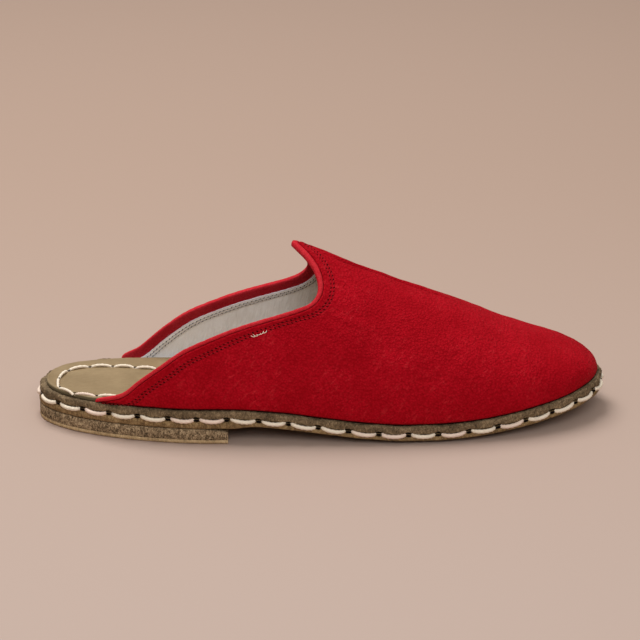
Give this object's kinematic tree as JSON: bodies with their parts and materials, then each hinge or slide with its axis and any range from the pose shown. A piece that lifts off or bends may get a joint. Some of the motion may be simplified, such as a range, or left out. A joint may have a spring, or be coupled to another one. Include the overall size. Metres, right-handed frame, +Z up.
{
  "type": "leather slipper",
  "caption": "Backless leather slipper with a peaked tongue, a low heel and a sole sewn round its edge, right shoe, standing empty.",
  "frame": {"origin": "on the ground, under the middle of the footprint's box", "axes": "+X towards the toe, +Y towards the inner side of the foot, +Z up"},
  "size_m": [0.28, 0.0894, 0.0905],
  "materials": {
    "outsole_leather": "raw cut edge, light tan brown",
    "midsole_leather": "rough olive brown edge",
    "heel_leather": "speckled stacked leather",
    "heel_wear_layer": "light tan wear layer",
    "insole_leather": "smooth khaki tan",
    "upper_nubuck": "red nubuck, soft nap with a fine pebble grain",
    "binding_leather": "red leather, rolled edge",
    "lining_leather": "pale cream lining, finely wrinkled",
    "sole_thread": "waxed off-white thread",
    "upper_thread": "dark red fine thread"
  },
  "bodies": {
    "root": {"outsole": "outsole_leather", "midsole": "midsole_leather", "heel_block": "heel_leather", "heel_top_piece": "heel_wear_layer", "insole": "insole_leather", "upper": "upper_nubuck", "collar_binding": "binding_leather"}
  },
  "joints": []
}
